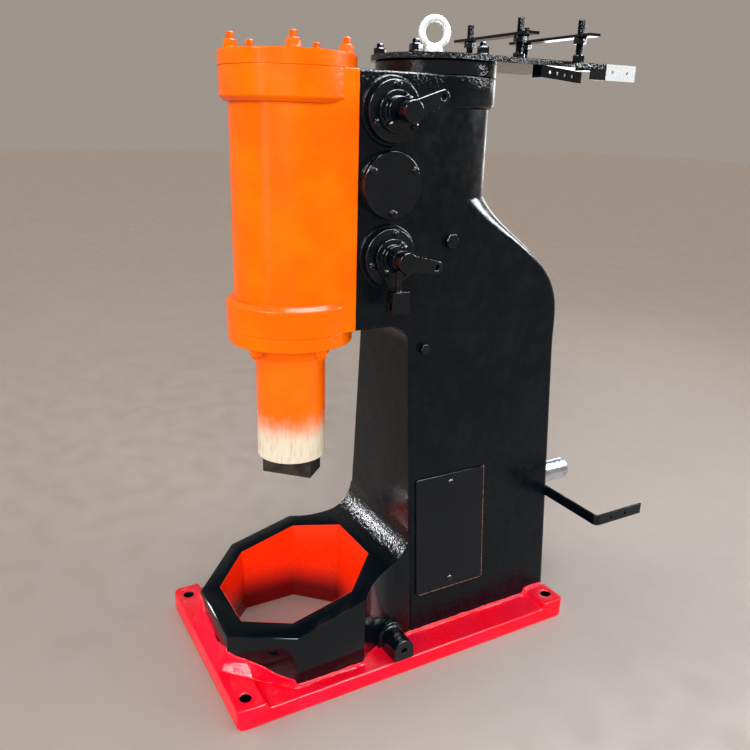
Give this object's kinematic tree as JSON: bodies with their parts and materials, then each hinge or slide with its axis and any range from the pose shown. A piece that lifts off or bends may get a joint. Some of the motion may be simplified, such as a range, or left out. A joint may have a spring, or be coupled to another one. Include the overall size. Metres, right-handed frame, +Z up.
{
  "type": "pneumatic forging hammer",
  "caption": "One-piece cast air hammer frame with working cylinder, ram and die, compressor cylinder, octagonal anvil pocket, valve levers and bolt-down base.",
  "frame": {"origin": "centre of the base's underside", "axes": "+Z up, -Y to the front where the ram is, +X to the side with the valve levers"},
  "size_m": [0.575, 1.073, 1.435],
  "materials": {
    "black_enamel": "glossy black enamel on rough casting",
    "orange_enamel": "semi-gloss orange enamel",
    "red_enamel": "glossy red enamel",
    "bare_steel": "turned steel, bare",
    "dark_steel": "heat-dark forged steel",
    "galvanised_steel": "bright zinc"
  },
  "bodies": {
    "frame": {"base_plate": "red_enamel", "anvil_ring": "black_enamel", "frame_body": "black_enamel", "working_cylinder": "orange_enamel", "working_cylinder_cover": "orange_enamel", "lower_cover": "orange_enamel", "compressor_cover": "black_enamel", "upper_valve_cover": "black_enamel", "middle_valve_cover": "black_enamel", "lower_valve_cover": "black_enamel", "upper_valve_cover_far": "black_enamel", "middle_valve_cover_far": "black_enamel", "lower_valve_cover_far": "black_enamel", "upper_valve_gland": "black_enamel", "lower_valve_gland": "black_enamel", "crank_bearing_cover": "black_enamel", "motor_plate": "black_enamel", "motor_rail_front": "black_enamel", "motor_rail_rear": "black_enamel", "rail_stud_front_far": "black_enamel", "rail_stud_front_near": "black_enamel", "rail_stud_rear_far": "black_enamel", "rail_stud_rear_near": "black_enamel", "lifting_eye": "galvanised_steel", "side_cover_near": "black_enamel", "side_cover_far": "black_enamel", "upper_side_plug": "black_enamel", "lower_side_plug": "black_enamel", "guard_angle": "black_enamel", "guard_hanger": "galvanised_steel", "guard_strap": "black_enamel", "treadle_bracket_near": "black_enamel", "treadle_bracket_far": "black_enamel"},
    "ram_body": {"ram": "orange_enamel", "upper_die": "dark_steel"},
    "crankshaft_body": {"crankshaft": "bare_steel"},
    "upper_lever_body": {"upper_valve_lever": "black_enamel"},
    "lower_lever_body": {"lower_valve_lever": "black_enamel", "lower_valve_crank": "black_enamel"}
  },
  "joints": [
    {"name": "ram_slide", "type": "slide", "parent": "frame", "child": "ram_body", "axis": [0, 0, 1], "range_m": [0, 0.24]},
    {"name": "crankshaft_turn", "type": "hinge", "parent": "frame", "child": "crankshaft_body", "pos_m": [0, 0.5, 0.28], "axis": [0, 1, 0], "continuous": true},
    {"name": "upper_valve_turn", "type": "hinge", "parent": "frame", "child": "upper_lever_body", "pos_m": [0.18, -0.047, 1.236], "axis": [1, 0, 0], "range_deg": [-30, 30]},
    {"name": "lower_valve_turn", "type": "hinge", "parent": "frame", "child": "lower_lever_body", "pos_m": [0.18, -0.047, 0.951], "axis": [1, 0, 0], "range_deg": [-25, 25]}
  ]
}
